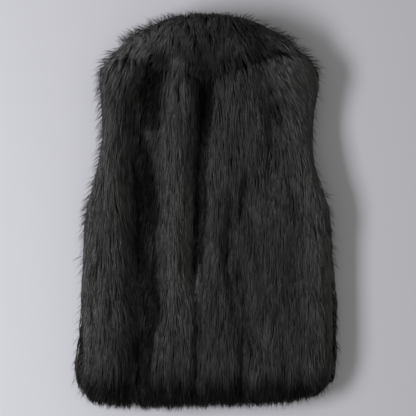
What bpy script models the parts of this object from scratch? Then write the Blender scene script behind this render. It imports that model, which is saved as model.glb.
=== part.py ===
"""A sleeveless vest of long-pile faux fur, laid face down on a flat surface with its back up.

The two fronts lie underneath with their pile pressed flat, the back lies on them, and the collar
goes all round the neck and is folded over the back. Lengths are in metres: +X is the right of the
back as it is seen from above, +Y runs from the hem to the collar, +Z is up from the surface.
"""

from collections import namedtuple

import bmesh
import bpy
import numpy as np
from mathutils import Vector
from mathutils.bvhtree import BVHTree

SEAM_GAP = 0.0003
PRESSED_PILE = 0.016  # the fronts: cloth, and pile pressed flat between it and the surface
BACK_LOFT = 0.033  # the back: cloth and standing pile, above the fronts
LEAST_LOFT = 0.0085  # what is left of the back's loft in the deepest fold
LOFT_EASE = 0.0030  # how softly a fold's bottom reaches that
SEAM_Z = PRESSED_PILE + SEAM_GAP  # where the back lies on the fronts

# The outline from above, pile included. The fronts come out a little past the back low on each side.
Side = namedtuple("Side", "y back_left back_right front_left front_right")
SIDES = (
    Side(0.256, -0.213, 0.224, -0.211, 0.222),
    Side(0.224, -0.211, 0.220, -0.209, 0.218),
    Side(0.176, -0.208, 0.214, -0.206, 0.212),
    Side(0.128, -0.209, 0.212, -0.207, 0.210),
    Side(0.096, -0.214, 0.215, -0.212, 0.213),
    Side(0.064, -0.222, 0.223, -0.220, 0.222),
    Side(0.032, -0.231, 0.235, -0.230, 0.234),
    Side(0.000, -0.240, 0.246, -0.239, 0.246),
    Side(-0.032, -0.245, 0.250, -0.245, 0.251),
    Side(-0.096, -0.246, 0.252, -0.247, 0.255),
    Side(-0.160, -0.247, 0.252, -0.251, 0.261),
    Side(-0.224, -0.247, 0.253, -0.254, 0.264),
    Side(-0.288, -0.247, 0.253, -0.261, 0.264),
    Side(-0.318, -0.246, 0.252, -0.266, 0.263),
    Side(-0.346, -0.243, 0.249, -0.262, 0.257),
)
ARMHOLE_BOTTOM = 0.000  # above this height on the sides the edges are open
ARMHOLE_EASE = (-0.05, 0.02)  # from sewn to open, from and to these heights over it
HEM_CORNER_Y = SIDES[-1].y
SHOULDER_TIP_Y = SIDES[0].y

# Ends of the panels, as x across and y along. The back's top is its shoulders and neck edge.
HEM = (
    (-0.262, -0.346), (-0.252, -0.364), (-0.232, -0.377), (-0.200, -0.384), (-0.120, -0.388),
    (0.000, -0.388), (0.100, -0.387), (0.170, -0.382), (0.212, -0.373), (0.240, -0.360),
    (0.257, -0.346),
)
BACK_TOP = (
    (-0.213, 0.256), (-0.210, 0.276), (-0.203, 0.294), (-0.190, 0.310), (-0.166, 0.325),
    (-0.130, 0.337), (-0.090, 0.341), (0.000, 0.336), (0.090, 0.341), (0.134, 0.337),
    (0.172, 0.325), (0.198, 0.310), (0.212, 0.295), (0.220, 0.277), (0.224, 0.256),
)
NECK_HALF_WIDTH = 0.096  # from the centre to where the shoulder meets the collar
NECK_SIDE_Y = 0.340
FRONT_NECK_Y = 0.190  # the bottom of the neck's V at the centre front

# How a panel's rim is rounded: how far in from the outline, and how high as a share of its loft.
RimStep = namedtuple("RimStep", "open_inset open_rise sewn_inset sewn_rise")
RIM = (
    RimStep(0.0070, 0.00, 0.0000, 0.00),
    RimStep(0.0015, 0.20, 0.0008, 0.24),
    RimStep(0.0000, 0.46, 0.0036, 0.49),
    RimStep(0.0030, 0.71, 0.0095, 0.71),
    RimStep(0.0100, 0.88, 0.0190, 0.88),
    RimStep(0.0220, 0.97, 0.0320, 0.97),
    RimStep(0.0380, 1.00, 0.0480, 1.00),
)
FRONT_RIM_SCALE = 0.42  # the fronts are thinner, so their rims turn in a shorter way

# Folds of the back. depth is how far it dips, or rises if negative; left and right are how wide
# its two slopes are; the path is x and y from the collar down.
Fold = namedtuple("Fold", "name depth left right path")
FOLDS = (
    Fold("deep fold left of the centre", 0.0235, 0.031, 0.016, (
        (-0.110, 0.282), (-0.126, 0.216), (-0.137, 0.156), (-0.140, 0.096), (-0.133, 0.016),
        (-0.131, -0.064), (-0.130, -0.144), (-0.120, -0.224), (-0.136, -0.294), (-0.140, -0.380),
    )),
    Fold("centre fold, upper part", 0.0190, 0.021, 0.012, (
        (-0.010, 0.290), (-0.002, 0.216), (-0.008, 0.156), (-0.015, 0.096), (-0.017, 0.016),
        (-0.022, -0.064), (-0.024, -0.120),
    )),
    Fold("centre fold, lower part", 0.0085, 0.011, 0.008, (
        (-0.018, -0.020), (-0.021, -0.144), (-0.017, -0.224), (-0.018, -0.304), (-0.018, -0.390),
    )),
    Fold("fold right of the centre", 0.0080, 0.013, 0.011, (
        (0.066, 0.030), (0.060, 0.000), (0.043, -0.040), (0.041, -0.090), (0.052, -0.140),
        (0.060, -0.190), (0.073, -0.250), (0.076, -0.310), (0.070, -0.360),
    )),
    Fold("short fold from the right armhole", 0.0085, 0.017, 0.013, (
        (0.112, 0.246), (0.128, 0.214), (0.136, 0.170), (0.132, 0.120), (0.126, 0.070),
    )),
    Fold("hollow under the left shoulder", 0.0120, 0.026, 0.026, (
        (-0.150, 0.226), (-0.128, 0.206), (-0.116, 0.184), (-0.112, 0.150),
    )),
    Fold("ridge between the two main folds", -0.0055, 0.024, 0.024, (
        (-0.064, 0.270), (-0.072, 0.180), (-0.078, 0.080), (-0.074, -0.040), (-0.074, -0.160),
        (-0.068, -0.270), (-0.070, -0.380),
    )),
    Fold("ridge along the left side", -0.0050, 0.022, 0.024, (
        (-0.192, 0.200), (-0.194, 0.060), (-0.200, -0.040), (-0.202, -0.160), (-0.200, -0.300),
    )),
    Fold("ridge right of the centre fold", -0.0030, 0.020, 0.030, (
        (0.040, 0.240), (0.036, 0.120), (0.030, 0.020), (0.008, -0.100), (0.014, -0.240), (0.018, -0.360),
    )),
    Fold("broad ridge of the right side", -0.0035, 0.045, 0.050, (
        (0.176, 0.120), (0.156, 0.000), (0.140, -0.120), (0.146, -0.260), (0.144, -0.360),
    )),
)
FOLD_END = 0.050  # each fold fades in and out over this length

# Rounded swells of the pile: where each is, how far it reaches and how high it rises.
Swell = namedtuple("Swell", "x y reach_x reach_y height")
SWELLS = (
    Swell(-0.174, 0.262, 0.046, 0.044, 0.0100),
    Swell(0.166, 0.264, 0.058, 0.046, 0.0100),
    Swell(-0.206, 0.000, 0.040, 0.060, 0.0030),
    Swell(0.060, 0.238, 0.050, 0.046, 0.0040),
    Swell(0.196, -0.020, 0.050, 0.080, 0.0035),
    Swell(0.150, -0.230, 0.080, 0.070, 0.0035),
    Swell(-0.192, -0.300, 0.045, 0.060, 0.0035),
    Swell(0.000, -0.270, 0.040, 0.060, 0.0025),
)

# The collar, one section at each x: the edge that lies on the back, the fold's outermost line and
# how high its crest stands above the surface.
CollarSection = namedtuple("CollarSection", "x fall_y fold_y crest_z")
COLLAR = (
    CollarSection(-0.163, 0.3150, 0.3345, 0.0500),
    CollarSection(-0.156, 0.3130, 0.3400, 0.0540),
    CollarSection(-0.138, 0.3080, 0.3500, 0.0600),
    CollarSection(-0.112, 0.3010, 0.3635, 0.0695),
    CollarSection(-0.078, 0.2920, 0.3780, 0.0765),
    CollarSection(-0.045, 0.2815, 0.3850, 0.0805),
    CollarSection(-0.010, 0.2700, 0.3880, 0.0820),
    CollarSection(0.022, 0.2740, 0.3880, 0.0815),
    CollarSection(0.048, 0.2860, 0.3850, 0.0800),
    CollarSection(0.080, 0.3000, 0.3775, 0.0765),
    CollarSection(0.114, 0.3110, 0.3635, 0.0695),
    CollarSection(0.142, 0.3150, 0.3490, 0.0600),
    CollarSection(0.160, 0.3165, 0.3400, 0.0540),
    CollarSection(0.167, 0.3165, 0.3345, 0.0500),
)
# The outline of each section, from the edge that lies on the back. along is a share of the collar's
# width. height is a share of the way up to the crest: from that edge before the crest, and from the
# surface after it. Under the fold, along is a share of the way from the neck seam out to the fold.
OutlineStep = namedtuple("OutlineStep", "along height")
COLLAR_BEFORE_CREST = (
    OutlineStep(0.00, 0.05), OutlineStep(0.02, 0.30), OutlineStep(0.10, 0.58), OutlineStep(0.24, 0.82),
    OutlineStep(0.40, 0.96), OutlineStep(0.54, 1.00),
)
COLLAR_AFTER_CREST = (
    OutlineStep(0.68, 0.975), OutlineStep(0.81, 0.90), OutlineStep(0.91, 0.78), OutlineStep(0.975, 0.62),
    OutlineStep(1.00, 0.43), OutlineStep(0.985, 0.24),
)
COLLAR_UNDERSIDE = (
    OutlineStep(0.78, 0.05), OutlineStep(0.50, 0.00), OutlineStep(0.26, 0.80), OutlineStep(0.05, 1.00),
)
COLLAR_UNDERSIDE_Z = 0.004  # its lowest line, just over the surface
COLLAR_LEAST_ROOM = 0.002  # from the neck seam out to the fold
COLLAR_RESTING_STEPS = 9  # points of its side that lies on the back
COLLAR_RESTING_SPREAD = 1.25  # more of them near the neck seam, where the back is steep
COLLAR_CLEARANCE = 0.0008  # over the back's faceted pile
COLLAR_LEAST_RISE = 0.006  # at the collar's narrow ends, over its own edge
NEARBY = 0.003  # the collar clears the highest pile within this distance
NECK_SLIT = 0.0008  # the neck opening, pressed nearly shut between the collar's two halves
COLLAR_REACHES_SURFACE_X = 0.124  # past this the collar goes round the shoulder to the surface
COLLAR_REACHES_SURFACE_EASE = 0.016  # and the underside drops to the surface over this length
COLLAR_END_FREE_Y = 0.3455  # the free edges of its front ends, which fill the neck's V
COLLAR_END_REACH = 0.139  # how far out each front end of the collar is made
COLLAR_END_LEAST = 0.0075  # its width where it passes round the shoulder
COLLAR_END_TURN = 0.0065  # how far in its free edge is rounded
COLLAR_END_TURN_SHARE = 0.6  # and never more than this share of its width
COLLAR_END_RIM = ((1.0, 1.00), (0.3, 0.80), (0.0, 0.48), (0.3, 0.16), (1.0, 0.00))  # inset, height
NECK_SEAM_GAP = 0.0007  # along y, which leaves the seam gap square to the neckline's slope

BACK_COLUMNS, BACK_ROWS = 43, 26
FRONT_COLUMNS, FRONT_ROWS = 9, 22
COLLAR_SECTIONS = 38
CORNER_ROUNDS = 6  # a corner's x and y each depend on the other, so they are found in turns

PILE_COLOUR = (0.024, 0.024, 0.025, 1.0)


def along_table(points, at):
    """A smooth curve through the points (place, value), read at a place. It never overshoots."""
    places = np.array([p[0] for p in points], float)
    values = np.array([p[1] for p in points], float)
    if places[0] > places[-1]:
        places, values = places[::-1], values[::-1]
    at = min(max(at, places[0]), places[-1])
    k = min(int(np.searchsorted(places, at, side="right")) - 1, len(places) - 2)
    slopes = np.diff(values) / np.diff(places)
    tangents = np.concatenate([slopes[:1], (slopes[1:] + slopes[:-1]) / 2, slopes[-1:]])
    tangents[1:-1][slopes[1:] * slopes[:-1] <= 0] = 0.0
    span = places[k + 1] - places[k]
    t = (at - places[k]) / span
    return (
        values[k] * (2 * t**3 - 3 * t**2 + 1)
        + tangents[k] * span * (t**3 - 2 * t**2 + t)
        + values[k + 1] * (3 * t**2 - 2 * t**3)
        + tangents[k + 1] * span * (t**3 - t**2)
    )


def smooth_step(low, high, at):
    t = min(max((at - low) / (high - low), 0.0), 1.0)
    return t * t * (3 - 2 * t)


def side_x(column, y):
    """x of one of the four outlines at height y, held straight past the table's ends."""
    return along_table([(row.y, getattr(row, column)) for row in SIDES], y)


def fold_dip(fold, x, y):
    """How far one fold lowers the back at x, y."""
    heights = [p[1] for p in fold.path]
    top, bottom = heights[0], heights[-1]
    if not bottom - FOLD_END < y < top + FOLD_END:
        return 0.0
    ends = smooth_step(bottom - FOLD_END, bottom, y) * smooth_step(top + FOLD_END, top, y)
    off = x - along_table([(p[1], p[0]) for p in fold.path], y)
    width = fold.left if off < 0 else fold.right
    return fold.depth * ends * np.exp(-((off / width) ** 2))


def back_loft(x, y):
    """Height of the back's pile over the fronts, away from its rims."""
    loft = BACK_LOFT
    for swell in SWELLS:
        away = ((x - swell.x) / swell.reach_x) ** 2 + ((y - swell.y) / swell.reach_y) ** 2
        loft += swell.height * np.exp(-away)
    for fold in FOLDS:
        loft -= fold_dip(fold, x, y)
    over = loft - LEAST_LOFT
    return LEAST_LOFT + (over + (over**2 + LOFT_EASE**2) ** 0.5) / 2


def front_top(x):
    """The front's upper end: the V of the neck, then the back's shoulder."""
    if abs(x) < NECK_HALF_WIDTH:
        return FRONT_NECK_Y + (NECK_SIDE_Y - FRONT_NECK_Y) * abs(x) / NECK_HALF_WIDTH
    return along_table(BACK_TOP, x)


def open_side(y):
    """How far the sides are open at height y: 0 where they are sewn, 1 at the armholes."""
    return smooth_step(ARMHOLE_BOTTOM + ARMHOLE_EASE[0], ARMHOLE_BOTTOM + ARMHOLE_EASE[1], y)


def rim_places(open_share, scale):
    """(inset, rise) of each rim line, from the edge inwards."""
    places = []
    for step in RIM:
        inset = step.sewn_inset + (step.open_inset - step.sewn_inset) * open_share
        rise = step.sewn_rise + (step.open_rise - step.sewn_rise) * open_share
        places.append((inset * scale, rise))
    return places


def across(count_inside, low, high, low_open, high_open, scale):
    """Places from low to high with a rim at each end: a list of (place, rise)."""
    near = rim_places(low_open, scale)
    far = rim_places(high_open, scale)
    first, last = low + near[-1][0], high - far[-1][0]
    inside = [
        (first + (last - first) * k / count_inside, 1.0) for k in range(1, count_inside)
    ]
    return (
        [(low + inset, rise) for inset, rise in near]
        + inside
        + [(high - inset, rise) for inset, rise in reversed(far)]
    )


def new_object(name, mesh_maker):
    """Makes one node from a function that fills a bmesh."""
    shape = bmesh.new()
    mesh_maker(shape)
    bmesh.ops.recalc_face_normals(shape, faces=shape.faces)
    mesh = bpy.data.meshes.new(name)
    shape.to_mesh(mesh)
    shape.free()
    mesh.shade_smooth()
    node = bpy.data.objects.new(name, mesh)
    bpy.context.scene.collection.objects.link(node)
    return node


def close_holes(shape):
    rims = [edge for edge in shape.edges if edge.is_boundary]
    bmesh.ops.holes_fill(shape, edges=rims, sides=0)


def panel_grid(shape, columns, rows, place):
    """A grid of columns by rows points, each put where place(column, row) says, closed underneath."""
    bmesh.ops.create_grid(shape, x_segments=columns - 1, y_segments=rows - 1, size=1.0)
    for vertex in shape.verts:
        column = round((vertex.co.x + 1) / 2 * (columns - 1))
        row = round((vertex.co.y + 1) / 2 * (rows - 1))
        vertex.co = place(column, row)
    close_holes(shape)


def make_back(shape):
    columns = BACK_COLUMNS - 1 + 2 * len(RIM)
    rows = BACK_ROWS - 1 + 2 * len(RIM)

    def row_of_places(y):
        left, right = side_x("back_left", y), side_x("back_right", y)
        return across(BACK_COLUMNS, left, right, open_side(y), open_side(y), 1.0)

    def place(column, row):
        low = along_table(HEM, row_of_places(HEM_CORNER_Y)[column][0])
        high = along_table(BACK_TOP, row_of_places(SHOULDER_TIP_Y)[column][0])
        y, rise_y = across(BACK_ROWS, low, high, 1.0, 0.0, 1.0)[row]
        x, rise_x = row_of_places(y)[column]
        return Vector((x, y, SEAM_Z + back_loft(x, y) * rise_x * rise_y))

    panel_grid(shape, columns, rows, place)


def front_row(side, y):
    """(x, rise) of each column of a front at height y, from the centre front outwards."""
    width = abs(side_x("front_left" if side < 0 else "front_right", y)) - SEAM_GAP / 2
    places = across(FRONT_COLUMNS, 0.0, width, 0.0, open_side(y), FRONT_RIM_SCALE)
    return [(side * (SEAM_GAP / 2 + x), rise) for x, rise in places]


def front_corner(side, column):
    """x and y where a column of a front meets its neckline or shoulder."""
    y = SHOULDER_TIP_Y
    for _ in range(CORNER_ROUNDS):
        x = front_row(side, y)[column][0]
        y = front_top(x)
    return x, y


def make_front(side):
    """side is -1 for the wearer's left front, at the left from above, and 1 for the right one."""
    columns = FRONT_COLUMNS - 1 + 2 * len(RIM)
    rows = FRONT_ROWS - 1 + 2 * len(RIM)

    def place(column, row):
        low = along_table(HEM, front_row(side, HEM_CORNER_Y)[column][0])
        high = front_corner(side, column)[1]
        y, rise_y = across(FRONT_ROWS, low, high, 1.0, 0.0, FRONT_RIM_SCALE)[row]
        x, rise_x = front_row(side, y)[column]
        return Vector((x, y, PRESSED_PILE * (1 - rise_x * rise_y)))

    def fill(shape):
        panel_grid(shape, columns, rows, place)

    return fill


def loft(shape, sections):
    """A closed solid through rings that have the same number of points, flat at both ends."""
    points = len(sections[0])
    bmesh.ops.create_grid(shape, x_segments=points, y_segments=len(sections) - 1, size=1.0)
    for vertex in shape.verts:
        point = round((vertex.co.x + 1) / 2 * points) % points
        section = round((vertex.co.y + 1) / 2 * (len(sections) - 1))
        vertex.co = sections[section][point]
    bmesh.ops.remove_doubles(shape, verts=shape.verts, dist=0.00001)
    close_holes(shape)


def collar_value(column, x):
    return along_table([(row.x, getattr(row, column)) for row in COLLAR], x)


def highest_nearby(pile, x, y):
    """Height of the back's highest pile around x, y, found by looking down on it."""
    highest = SEAM_Z
    for across_x in (-NEARBY, 0.0, NEARBY):
        for across_y in (-NEARBY, 0.0, NEARBY):
            above = Vector((x + across_x, y + across_y, 1.0))
            met = pile.ray_cast(above, Vector((0.0, 0.0, -1.0)))[0]
            if met is not None:
                highest = max(highest, met.z)
    return highest


def collar_section(pile, x):
    """The folded collar's outline at x, from its edge on the back over the fold and round under."""
    fall, fold = collar_value("fall_y", x), collar_value("fold_y", x)
    crest = collar_value("crest_z", x)
    neck = along_table(BACK_TOP, x) + COLLAR_CLEARANCE
    width = fold - fall
    at_side = smooth_step(
        COLLAR_REACHES_SURFACE_X - COLLAR_REACHES_SURFACE_EASE, COLLAR_REACHES_SURFACE_X, abs(x)
    )
    edge_z = highest_nearby(pile, x, fall) + COLLAR_CLEARANCE
    crest = max(crest, edge_z + COLLAR_LEAST_RISE)
    outer = [
        (fall + step.along * width, edge_z + step.height * (crest - edge_z)) for step in COLLAR_BEFORE_CREST
    ]
    outer += [(fall + step.along * width, step.height * crest) for step in COLLAR_AFTER_CREST]

    room = max(fold - neck, COLLAR_LEAST_ROOM)
    lowest = COLLAR_UNDERSIDE_Z * (1 - at_side)
    slit = (SEAM_Z + NECK_SLIT) * (1 - at_side)
    inner = [(neck + step.along * room, lowest + step.height * (slit - lowest)) for step in COLLAR_UNDERSIDE]
    inner.append((neck, SEAM_Z + COLLAR_CLEARANCE))

    seam_y = neck - COLLAR_CLEARANCE
    resting = []
    for k in range(COLLAR_RESTING_STEPS):
        share = (k / (COLLAR_RESTING_STEPS - 0.5)) ** COLLAR_RESTING_SPREAD
        y = seam_y + (fall - seam_y) * share
        resting.append((y, highest_nearby(pile, x, y) + COLLAR_CLEARANCE))
    return [Vector((x, y, z)) for y, z in outer + inner + resting]


def make_collar_back(back):
    low, high = COLLAR[0].x, COLLAR[-1].x
    corners = [vertex.co for vertex in back.data.vertices]
    pile = BVHTree.FromPolygons(corners, [list(face.vertices) for face in back.data.polygons])

    def fill(shape):
        sections = []
        for k in range(COLLAR_SECTIONS):
            even = k / (COLLAR_SECTIONS - 1)
            eased = (1 - np.cos(np.pi * even)) / 2
            sections.append(collar_section(pile, low + (high - low) * (eased + even) / 2))
        loft(shape, sections)

    return fill


def make_collar_front(side):
    """One front end of the collar, flat under the back, from the front's neckline to its own edge."""

    def fill(shape):
        sections = []
        for column in range(FRONT_COLUMNS - 1 + 2 * len(RIM)):
            x, neckline = front_corner(side, column)
            if abs(x) > COLLAR_END_REACH:
                break
            low = neckline + NECK_SEAM_GAP
            high = max(COLLAR_END_FREE_Y, low + COLLAR_END_LEAST)
            turn = min(COLLAR_END_TURN, COLLAR_END_TURN_SHARE * (high - low))
            outline = [(low, PRESSED_PILE)]
            outline += [(high - inset * turn, height * PRESSED_PILE) for inset, height in COLLAR_END_RIM]
            outline.append((low, 0.0))
            sections.append([Vector((x, y, z)) for y, z in outline])
        loft(shape, sections)

    return fill


def join(base, addition):
    """Fuses addition into base with a Boolean, and hides the addition."""
    union = base.modifiers.new("fuse_" + addition.name, "BOOLEAN")
    union.operation = "UNION"
    union.solver = "EXACT"
    union.object = addition
    addition.hide_render = True
    addition.display_type = "WIRE"


def pile_material(name, roughness):
    material = bpy.data.materials.new(name)
    material.use_nodes = True
    surface = material.node_tree.nodes["Principled BSDF"]
    surface.inputs["Base Color"].default_value = PILE_COLOUR
    surface.inputs["Roughness"].default_value = roughness
    surface.inputs["Metallic"].default_value = 0.0
    return material


def centre_on_origin(objects):
    """Moves the meshes so that the part's footprint is centred on the origin."""
    points = [v.co for o in objects for v in o.data.vertices]
    middle_x = (min(p.x for p in points) + max(p.x for p in points)) / 2
    middle_y = (min(p.y for p in points) + max(p.y for p in points)) / 2
    for o in objects:
        for vertex in o.data.vertices:
            vertex.co.x -= middle_x
            vertex.co.y -= middle_y


def main():
    for old in list(bpy.data.objects):
        bpy.data.objects.remove(old)
    back = new_object("back", make_back)
    front_left = new_object("front_left", make_front(-1))
    front_right = new_object("front_right", make_front(1))
    collar = new_object("collar", make_collar_back(back))
    left_end = new_object("collar_left_end", make_collar_front(-1))
    right_end = new_object("collar_right_end", make_collar_front(1))
    join(collar, left_end)
    join(collar, right_end)
    for node in (back, collar):
        node.data.materials.append(pile_material(node.name + "_standing_pile", 0.75))
    for node in (front_left, front_right):
        node.data.materials.append(pile_material(node.name + "_pressed_pile", 0.82))
    centre_on_origin([back, front_left, front_right, collar, left_end, right_end])


main()
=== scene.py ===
# %% [markdown]
# # A black faux fur vest, laid face down
# The real vest is cut from four pieces of long-pile fur fabric: a back, two fronts and a collar.
# It lies with its back up, so the fronts are pressed flat underneath. Fur fabric is a thin cloth
# with a thick pile on it, and the two are made apart here: a thin shell for the cloth, and joined
# meshes of many tapered strands for the pile. The frame comes first, because it fixes every place.

# %% Load the frame
import math
from collections import namedtuple

import bmesh
import bpy
import numpy as np
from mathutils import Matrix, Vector, noise
from mathutils.bvhtree import BVHTree


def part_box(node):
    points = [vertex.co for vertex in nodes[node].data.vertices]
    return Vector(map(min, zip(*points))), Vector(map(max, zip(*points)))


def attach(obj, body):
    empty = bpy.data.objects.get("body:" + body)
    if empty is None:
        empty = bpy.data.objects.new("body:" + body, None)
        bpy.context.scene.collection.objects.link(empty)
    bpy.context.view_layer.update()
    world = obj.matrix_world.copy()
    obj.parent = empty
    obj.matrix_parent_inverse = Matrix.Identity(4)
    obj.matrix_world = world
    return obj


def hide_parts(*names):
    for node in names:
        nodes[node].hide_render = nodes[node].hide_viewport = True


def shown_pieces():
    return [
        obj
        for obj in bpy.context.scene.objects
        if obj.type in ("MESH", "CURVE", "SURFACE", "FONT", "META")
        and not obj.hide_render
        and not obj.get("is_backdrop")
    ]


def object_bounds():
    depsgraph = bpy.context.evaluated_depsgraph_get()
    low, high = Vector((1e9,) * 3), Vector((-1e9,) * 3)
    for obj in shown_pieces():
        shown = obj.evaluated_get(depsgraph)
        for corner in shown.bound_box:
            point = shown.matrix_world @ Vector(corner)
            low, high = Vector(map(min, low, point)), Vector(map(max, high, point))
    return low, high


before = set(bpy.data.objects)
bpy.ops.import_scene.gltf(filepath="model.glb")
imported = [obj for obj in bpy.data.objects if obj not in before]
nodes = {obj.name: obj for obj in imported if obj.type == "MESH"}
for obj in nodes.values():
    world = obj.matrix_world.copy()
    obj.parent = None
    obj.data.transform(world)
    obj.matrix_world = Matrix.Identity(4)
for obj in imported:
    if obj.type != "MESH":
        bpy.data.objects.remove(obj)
cad_box = [[float(v) for v in corner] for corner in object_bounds()]
rng = np.random.default_rng(11)
print("frame:", sorted(nodes), cad_box)

# %% [markdown]
# ## Camera
# The photo looks straight down on the vest, with its collar at the top. Two millimetres of the
# real vest fill one pixel of the square picture, so a long lens is set back until its picture is
# 832 mm wide at the height of the pile. A long lens keeps the sides of the vest out of sight.

# %% Camera
PICTURE_WIDTH = 0.832
PICTURE_CENTRE = (0.004, 0.0)
PILE_LEVEL = 0.040
LENS_MM = 100.0
SENSOR_MM = 36.0

camera_data = bpy.data.cameras.new("camera")
camera_data.lens = LENS_MM
camera_data.sensor_width = SENSOR_MM
camera = bpy.data.objects.new("camera", camera_data)
bpy.context.scene.collection.objects.link(camera)
camera.location = (*PICTURE_CENTRE, PILE_LEVEL + PICTURE_WIDTH * LENS_MM / SENSOR_MM)
bpy.context.scene.camera = camera
bpy.context.scene.view_settings.view_transform = "Standard"
print("camera height", round(camera.location.z, 3))

# %% [markdown]
# ## Surface
# The vest lies on a plain pale surface. It could be a slab with edges, but none of them shows, so
# one large square is enough. Its finish is rough, so that the lamp makes no bright spot on it.

# %% Surface
FLOOR_SIZE = 8.0
FLOOR_COLOUR, FLOOR_ROUGHNESS = (0.515, 0.515, 0.545), 0.85


def link_mesh(name, shape):
    """Makes an object of a bmesh and frees the bmesh."""
    mesh = bpy.data.meshes.new(name)
    shape.to_mesh(mesh)
    shape.free()
    piece = bpy.data.objects.new(name, mesh)
    bpy.context.scene.collection.objects.link(piece)
    return piece


def plain_material(name, colour, roughness):
    material = bpy.data.materials.new(name)
    material.use_nodes = True
    surface = material.node_tree.nodes["Principled BSDF"]
    surface.inputs["Base Color"].default_value = (*colour, 1.0)
    surface.inputs["Roughness"].default_value = roughness
    return material


shape = bmesh.new()
bmesh.ops.create_grid(shape, x_segments=1, y_segments=1, size=FLOOR_SIZE / 2)
floor = link_mesh("surface", shape)
floor.data.materials.append(plain_material("pale_surface", FLOOR_COLOUR, FLOOR_ROUGHNESS))
floor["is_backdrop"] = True
print("surface", FLOOR_SIZE, "m square")

# %% [markdown]
# ## Light
# The light in the photo comes from the left, low, and a little from below the hem: the left sides
# of the folds are paler, and the shadow falls to the right and a little past the collar. It keeps
# an even tone for four centimetres and then fades over four more, while past the collar and the
# hem it is softer. A small lamp or a sun would cut it sharp all round, so the lamp is a long one
# that lies along the vest's side. The pale room around it keeps the shadow open.

# %% Lamp and room
KEY_DISTANCE = 3.2
KEY_HEIGHT_ANGLE = math.radians(32)
KEY_FROM_HEM_ANGLE = math.radians(8)
KEY_LENGTH, KEY_WIDTH = 2.0, 0.68
KEY_WATTS = 133.0
KEY_COLOUR = (0.955, 0.96, 1.0)
ROOM_COLOUR, ROOM_STRENGTH = (1.0, 0.985, 0.955), 0.37


def long_lamp(name, place, aim, length, width, watts, colour):
    """A rectangular lamp that faces its aim and has its length level."""
    data = bpy.data.lights.new(name, "AREA")
    data.shape = "RECTANGLE"
    data.size = length
    data.size_y = width
    data.energy = watts
    data.color = colour
    lamp = bpy.data.objects.new(name, data)
    bpy.context.scene.collection.objects.link(lamp)
    lamp.location = place
    lamp.rotation_euler = (Vector(aim) - Vector(place)).to_track_quat("-Z", "Y").to_euler()


key_away = KEY_DISTANCE * math.cos(KEY_HEIGHT_ANGLE)
key_place = (
    -key_away * math.cos(KEY_FROM_HEM_ANGLE),
    -key_away * math.sin(KEY_FROM_HEM_ANGLE),
    KEY_DISTANCE * math.sin(KEY_HEIGHT_ANGLE),
)
long_lamp("key", key_place, (0.0, 0.0, 0.0), KEY_LENGTH, KEY_WIDTH, KEY_WATTS, KEY_COLOUR)
world = bpy.data.worlds.new("room")
world.use_nodes = True
background = world.node_tree.nodes["Background"]
background.inputs["Color"].default_value = (*ROOM_COLOUR, 1.0)
background.inputs["Strength"].default_value = ROOM_STRENGTH
bpy.context.scene.world = world
print("key lamp at", [round(v, 3) for v in key_place])

# %% [markdown]
# ## Colour of the pile
# Every strand is darker at its root, a painted shade where light hardly reaches, and paler at its
# tip. Hairs also differ from each other, and whole patches are paler or darker with painted
# highlights and painted shade. A picture wrapped round each hair could hold that, but two numbers
# are enough, read from the piece's own UV map: U is the hair's tone and V runs from root to tip. One
# node group makes that colour, and each pile places it with its own colours. The tone is squared,
# which keeps fine steps among the darkest hairs.

# %% Pile colour group
UV_NAME = "OFBake"
PALEST = 2.6  # how much paler the palest hair is than the plain colour
ROOT_TO, TIP_FROM = 0.10, 0.90  # how far the root's colour reaches, and where the tip's begins
TONE_POWER = 2.0
DARKEST_TONE, DARKEST_ROUGHNESS, PALEST_ROUGHNESS = 0.1, 0.66, 0.42


def map_range(tree, value, low, high, to_low, to_high, smooth=False):
    """A Map Range node fed by value; returns its output."""
    node = tree.nodes.new("ShaderNodeMapRange")
    node.interpolation_type = "SMOOTHSTEP" if smooth else "LINEAR"
    node.inputs["From Min"].default_value = low
    node.inputs["From Max"].default_value = high
    node.inputs["To Min"].default_value = to_low
    node.inputs["To Max"].default_value = to_high
    tree.links.new(value, node.inputs["Value"])
    return node.outputs["Result"]


def pile_group():
    """Group: root and tip colours in; the colour and roughness of each place on a hair out."""
    group = bpy.data.node_groups.new("pile colour", "ShaderNodeTree")
    for name in ("Root", "Tip"):
        group.interface.new_socket(name, in_out="INPUT", socket_type="NodeSocketColor")
    group.interface.new_socket("Colour", in_out="OUTPUT", socket_type="NodeSocketColor")
    group.interface.new_socket("Roughness", in_out="OUTPUT", socket_type="NodeSocketFloat")
    add, link = group.nodes.new, group.links.new
    inputs, outputs = add("NodeGroupInput"), add("NodeGroupOutput")
    uv = add("ShaderNodeUVMap")
    uv.uv_map = UV_NAME
    split = add("ShaderNodeSeparateXYZ")
    link(uv.outputs["UV"], split.inputs[0])
    tone, along = split.outputs["X"], split.outputs["Y"]

    root_to_tip = add("ShaderNodeMix")
    root_to_tip.data_type = "RGBA"
    link(map_range(group, along, ROOT_TO, TIP_FROM, 0.0, 1.0, smooth=True), root_to_tip.inputs["Factor"])
    link(inputs.outputs["Root"], root_to_tip.inputs["A"])
    link(inputs.outputs["Tip"], root_to_tip.inputs["B"])

    squared = add("ShaderNodeMath")
    squared.operation = "POWER"
    link(tone, squared.inputs[0])
    squared.inputs[1].default_value = TONE_POWER
    toned = add("ShaderNodeVectorMath")
    toned.operation = "SCALE"
    link(root_to_tip.outputs["Result"], toned.inputs[0])
    link(map_range(group, squared.outputs["Value"], 0.0, 1.0, 0.0, PALEST), toned.inputs["Scale"])
    link(toned.outputs["Vector"], outputs.inputs["Colour"])
    roughness = map_range(group, tone, DARKEST_TONE, 1.0, DARKEST_ROUGHNESS, PALEST_ROUGHNESS)
    link(roughness, outputs.inputs["Roughness"])
    return group


PILE_GROUP = pile_group()
print("group", PILE_GROUP.name, len(PILE_GROUP.nodes), "nodes")
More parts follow.
